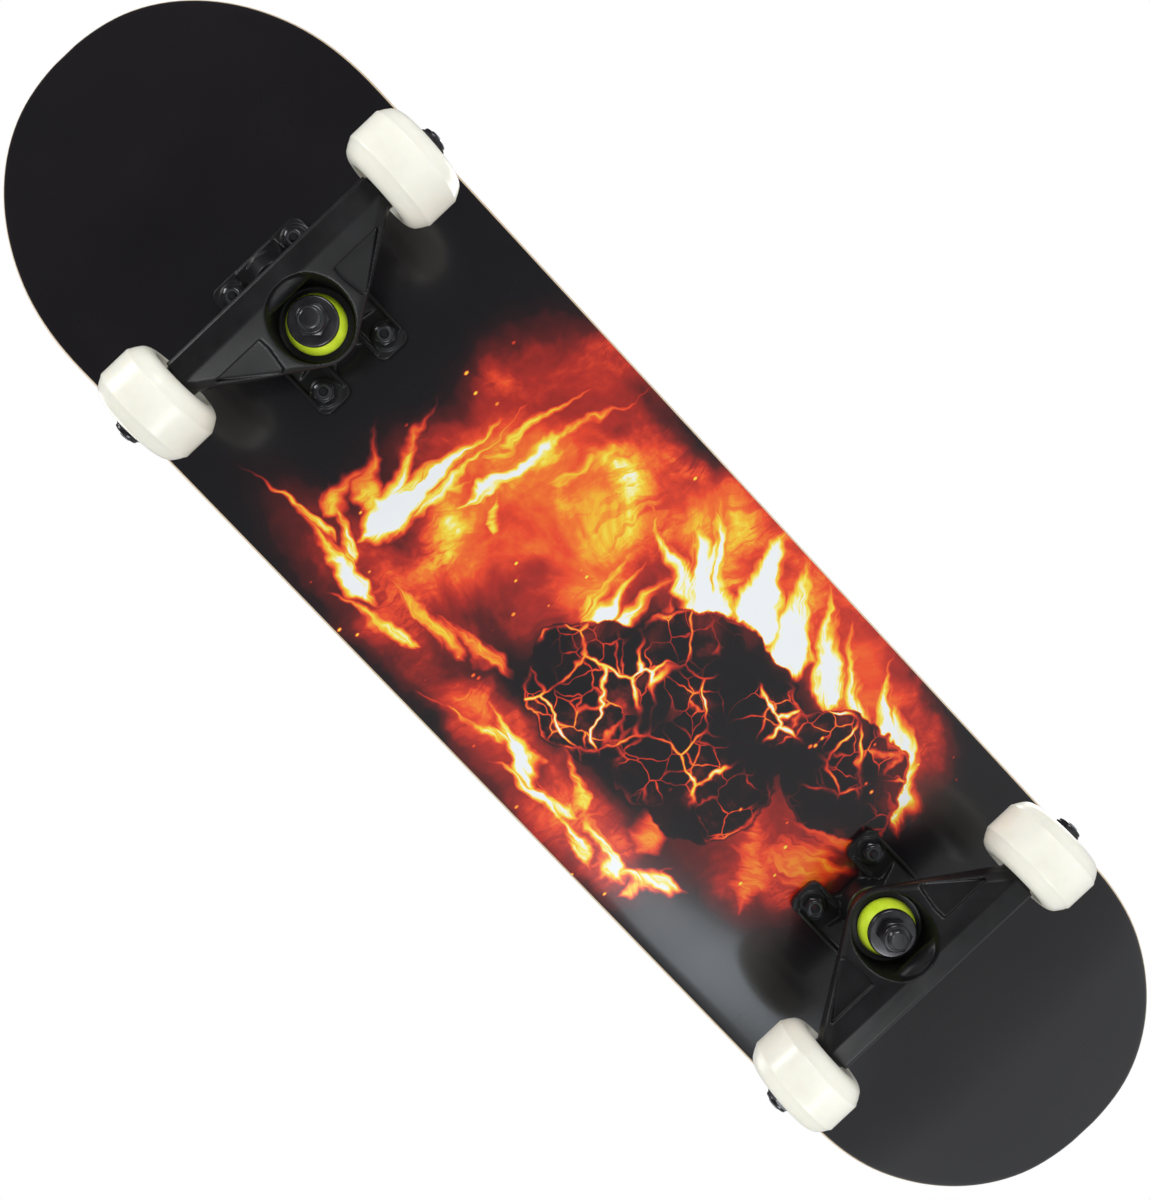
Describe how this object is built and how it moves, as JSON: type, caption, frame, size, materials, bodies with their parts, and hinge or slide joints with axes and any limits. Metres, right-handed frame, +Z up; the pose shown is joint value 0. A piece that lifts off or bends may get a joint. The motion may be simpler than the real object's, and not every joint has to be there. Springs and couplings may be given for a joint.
{
  "type": "skateboard",
  "caption": "Street skateboard: kicked plywood deck with grit on top and a flame print below, two black kingpin trucks and cream urethane wheels on ball bearings.",
  "frame": {"origin": "on the ground under the middle of the board, with the wheels standing on z = 0", "axes": "+X along the board towards the nose, +Y to the left, +Z up through the deck"},
  "size_m": [0.8128, 0.2064, 0.1349],
  "materials": {
    "printed_maple": "seven-ply maple, glossy dark print with flames on the underside, bare plies at the edge",
    "grip_grit": "coarse black grit",
    "black_casting": "satin black coating",
    "black_steel": "black oxide",
    "bright_steel": "turned",
    "lime_urethane": "satin",
    "white_urethane": "glossy cream urethane",
    "black_urethane": "matte"
  },
  "bodies": {
    "board": {"deck": "printed_maple", "grip_tape": "grip_grit", "front_bolt_inner_left": "black_steel", "front_nut_inner_left": "black_steel", "front_bolt_inner_right": "black_steel", "front_nut_inner_right": "black_steel", "front_bolt_outer_left": "black_steel", "front_nut_outer_left": "black_steel", "front_bolt_outer_right": "black_steel", "front_nut_outer_right": "black_steel", "front_baseplate": "black_casting", "front_pivot_cup": "black_urethane", "front_kingpin": "black_steel", "front_kingpin_nut": "black_steel", "front_washer_deck_side": "black_steel", "front_washer_road_side": "black_steel", "front_bushing_deck_side": "lime_urethane", "front_bushing_road_side": "lime_urethane", "rear_bolt_inner_left": "black_steel", "rear_nut_inner_left": "black_steel", "rear_bolt_inner_right": "black_steel", "rear_nut_inner_right": "black_steel", "rear_bolt_outer_left": "black_steel", "rear_nut_outer_left": "black_steel", "rear_bolt_outer_right": "black_steel", "rear_nut_outer_right": "black_steel", "rear_baseplate": "black_casting", "rear_pivot_cup": "black_urethane", "rear_kingpin": "black_steel", "rear_kingpin_nut": "black_steel", "rear_washer_deck_side": "black_steel", "rear_washer_road_side": "black_steel", "rear_bushing_deck_side": "lime_urethane", "rear_bushing_road_side": "lime_urethane"},
    "front_hanger_assembly": {"front_hanger": "black_casting", "front_axle": "bright_steel", "front_left_speed_washer": "bright_steel", "front_left_axle_nut": "black_steel", "front_right_speed_washer": "bright_steel", "front_right_axle_nut": "black_steel"},
    "front_left_wheel_assembly": {"front_left_wheel": "white_urethane", "front_left_bearing_inboard": "bright_steel", "front_left_bearing_outboard": "bright_steel"},
    "front_right_wheel_assembly": {"front_right_wheel": "white_urethane", "front_right_bearing_inboard": "bright_steel", "front_right_bearing_outboard": "bright_steel"},
    "rear_hanger_assembly": {"rear_hanger": "black_casting", "rear_axle": "bright_steel", "rear_left_speed_washer": "bright_steel", "rear_left_axle_nut": "black_steel", "rear_right_speed_washer": "bright_steel", "rear_right_axle_nut": "black_steel"},
    "rear_left_wheel_assembly": {"rear_left_wheel": "white_urethane", "rear_left_bearing_inboard": "bright_steel", "rear_left_bearing_outboard": "bright_steel"},
    "rear_right_wheel_assembly": {"rear_right_wheel": "white_urethane", "rear_right_bearing_inboard": "bright_steel", "rear_right_bearing_outboard": "bright_steel"}
  },
  "joints": [
    {"name": "front_truck_steer", "type": "hinge", "parent": "board", "child": "front_hanger_assembly", "pos_m": [0.2005, 0, 0.04285], "axis": [0.866, 0, 0.5], "range_deg": [-12, 12], "stiffness_Nm_per_rad": 60, "deforming": ["front_bushing_deck_side", "front_bushing_road_side"]},
    {"name": "front_left_wheel_spin", "type": "hinge", "parent": "front_hanger_assembly", "child": "front_left_wheel_assembly", "pos_m": [0.2215, 0.0776, 0.026], "axis": [0, 1, 0], "continuous": true},
    {"name": "front_right_wheel_spin", "type": "hinge", "parent": "front_hanger_assembly", "child": "front_right_wheel_assembly", "pos_m": [0.2215, -0.0776, 0.026], "axis": [0, 1, 0], "continuous": true},
    {"name": "rear_truck_steer", "type": "hinge", "parent": "board", "child": "rear_hanger_assembly", "pos_m": [-0.2005, 0, 0.04285], "axis": [-0.866, 0, 0.5], "range_deg": [-12, 12], "stiffness_Nm_per_rad": 60, "deforming": ["rear_bushing_deck_side", "rear_bushing_road_side"]},
    {"name": "rear_left_wheel_spin", "type": "hinge", "parent": "rear_hanger_assembly", "child": "rear_left_wheel_assembly", "pos_m": [-0.2215, 0.0776, 0.026], "axis": [0, 1, 0], "continuous": true},
    {"name": "rear_right_wheel_spin", "type": "hinge", "parent": "rear_hanger_assembly", "child": "rear_right_wheel_assembly", "pos_m": [-0.2215, -0.0776, 0.026], "axis": [0, 1, 0], "continuous": true}
  ]
}
